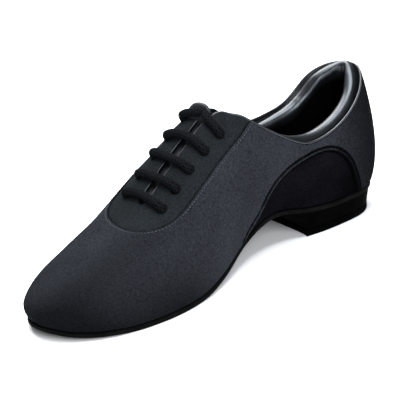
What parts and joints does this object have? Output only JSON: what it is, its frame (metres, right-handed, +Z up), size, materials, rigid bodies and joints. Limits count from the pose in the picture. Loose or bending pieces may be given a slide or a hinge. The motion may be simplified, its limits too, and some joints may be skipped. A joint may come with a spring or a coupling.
{
  "type": "ballroom dance shoe",
  "caption": "Low-heeled lace-up dance shoe with a stretch fabric upper, a rounded facing under the laces, arch panels at the sides and a glossy padded collar.",
  "frame": {"origin": "on the floor under the middle of the shoe's box", "axes": "+X to the inner (medial) side, +Y from the toe to the heel, +Z up"},
  "size_m": [0.0966, 0.29, 0.1027],
  "materials": {
    "stretch_fabric": "matte, fine weave",
    "glossy_leather": "glossy",
    "lining": "matte",
    "suede_sole": "napped",
    "heel_rubber": "satin",
    "cord": "braided"
  },
  "bodies": {
    "root": {"upper": "stretch_fabric", "outsole": "suede_sole", "insole": "lining", "tongue": "glossy_leather", "heel": "heel_rubber", "heel_lift": "heel_rubber", "edge_binding": "glossy_leather", "collar_padding": "glossy_leather", "lace_bar_1": "cord", "lace_bar_2": "cord", "lace_bar_3": "cord", "lace_bar_4": "cord", "lace_end_outer": "cord", "lace_end_inner": "cord"}
  },
  "joints": []
}
